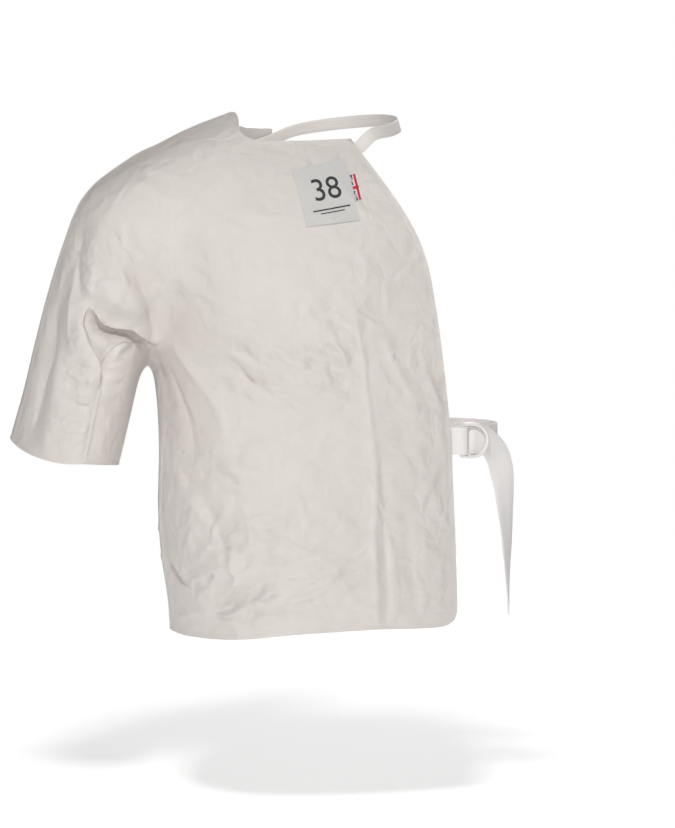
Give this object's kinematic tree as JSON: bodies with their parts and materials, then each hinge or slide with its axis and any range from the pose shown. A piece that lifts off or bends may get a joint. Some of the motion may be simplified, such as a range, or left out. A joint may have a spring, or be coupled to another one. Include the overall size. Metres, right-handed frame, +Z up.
{
  "type": "fencing plastron",
  "caption": "Worn half jacket for a fencer's sword side: one short sleeve, open neck tape and a waist strap threaded through D rings.",
  "frame": {"origin": "middle of the wearer's neck at the height of the shoulder seam's neck end", "axes": "+Z up, -Y the wearer's front, -X the wearer's right, where the sleeve is"},
  "size_m": [0.4374, 0.2273, 0.4624],
  "materials": {
    "white_cloth": "close woven warm white cloth with a soft satin sheen",
    "white_webbing": "matt woven white webbing",
    "ivory_plastic": "smooth white plastic",
    "woven_label": "pale grey woven label",
    "flag_ribbon": "woven ribbon in flag colours"
  },
  "bodies": {
    "root": {"front": "white_cloth", "back": "white_cloth", "neck_tape": "white_webbing", "ring_tab": "white_webbing", "ring_lower": "ivory_plastic", "ring_upper": "ivory_plastic", "waist_strap": "white_webbing", "label": "woven_label", "flag_tab": "flag_ribbon"}
  },
  "joints": []
}
